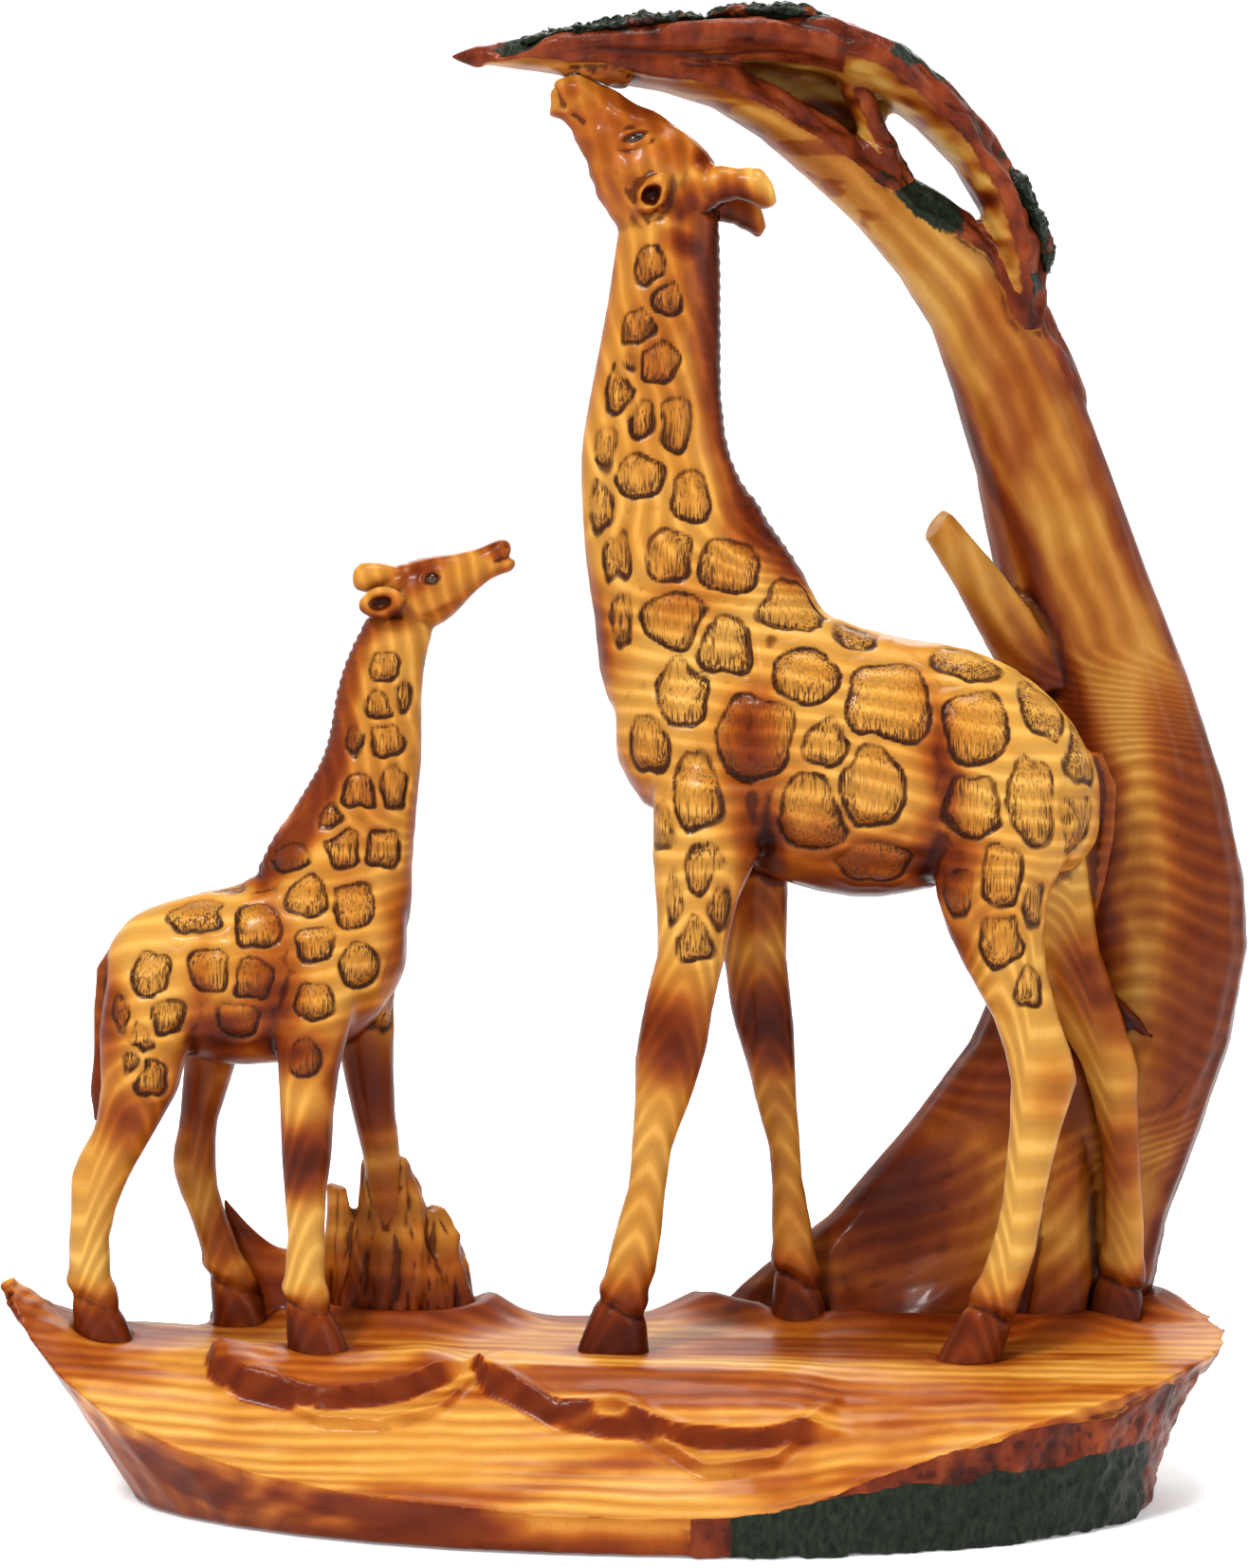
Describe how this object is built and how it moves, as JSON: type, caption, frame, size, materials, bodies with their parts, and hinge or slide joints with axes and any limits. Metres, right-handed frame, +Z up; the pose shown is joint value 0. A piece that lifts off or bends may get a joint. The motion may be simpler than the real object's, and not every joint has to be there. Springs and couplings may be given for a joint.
{
  "type": "carved giraffe statue",
  "caption": "Table statue of a giraffe browsing from an arched tree with its calf beside it, on a carved slab base; stands on a shelf or table.",
  "frame": {"origin": "middle of the statue's bounding box, at its underside", "axes": "+Z up, -Y out of the front that faces the viewer, +X to the viewer's right, towards the tree trunk"},
  "size_m": [0.205, 0.086, 0.24],
  "materials": {
    "wood_finish_honey": "cast resin with a honey wood-grain print, brown shading and satin lacquer",
    "wood_finish_red": "cast resin painted red-brown bark, satin lacquer",
    "leaf_paint": "cast resin crust painted dark green, dull",
    "felt": "green self-adhesive felt",
    "pin": "plain wire",
    "dowel": "raw beech dowel"
  },
  "bodies": {
    "root": {"base_slab": "wood_finish_honey", "base_felt": "felt", "tree_trunk": "wood_finish_honey", "tree_crest": "wood_finish_red", "branch_stub": "wood_finish_honey", "tree_stump": "wood_finish_honey", "foliage_tip": "leaf_paint", "foliage_crown": "leaf_paint", "foliage_shoulder": "leaf_paint", "foliage_heel": "leaf_paint", "leaf_sprig": "wood_finish_honey", "cow_body": "wood_finish_honey", "cow_head": "wood_finish_honey", "cow_ear_near": "wood_finish_honey", "cow_ear_far": "wood_finish_honey", "cow_horn_near": "wood_finish_honey", "cow_horn_far": "wood_finish_honey", "cow_tail": "wood_finish_honey", "calf_body": "wood_finish_honey", "calf_head": "wood_finish_honey", "calf_ear_near": "wood_finish_honey", "calf_ear_far": "wood_finish_honey", "calf_horn_near": "wood_finish_honey", "calf_horn_far": "wood_finish_honey", "calf_tail": "wood_finish_red", "cow_pin_front_near": "pin", "cow_pin_front_far": "pin", "cow_pin_hind_near": "pin", "cow_pin_hind_far": "pin", "calf_pin_front_near": "pin", "calf_pin_hind_near": "pin", "calf_pin_hind_far": "pin", "trunk_dowel_left": "dowel", "trunk_dowel_right": "dowel"}
  },
  "joints": []
}
